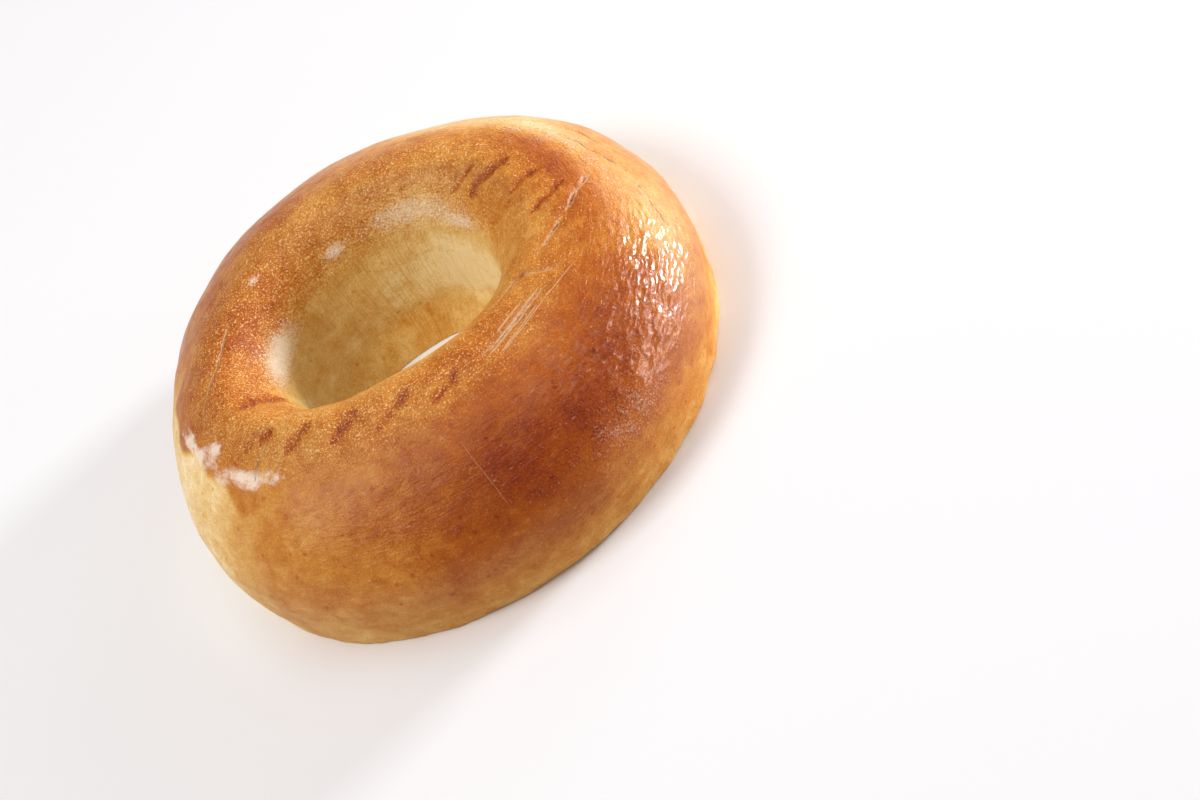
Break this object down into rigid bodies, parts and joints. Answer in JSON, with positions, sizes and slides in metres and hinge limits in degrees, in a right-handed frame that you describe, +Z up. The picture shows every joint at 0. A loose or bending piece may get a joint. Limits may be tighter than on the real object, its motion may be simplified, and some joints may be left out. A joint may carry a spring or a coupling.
{
  "type": "bagel half",
  "caption": "Top half of a sliced plain ring bagel: a fat bread ring with a glossy brown crust, a flared centre hole and a flat toasted cut face that it lies on.",
  "frame": {"origin": "middle of the outline's box, in the plane of the cut face", "axes": "+Z up through the hole, from the cut face to the crown; -Y towards the darkest browned shoulder; +X to its right"},
  "size_m": [0.1044, 0.1066, 0.0328],
  "materials": {
    "baked_crust": "glossy baked crust, pale and dull in the hole, with a dry toasted crumb on the cut face"
  },
  "bodies": {
    "root": {"bagel_top_half": "baked_crust"}
  },
  "joints": []
}
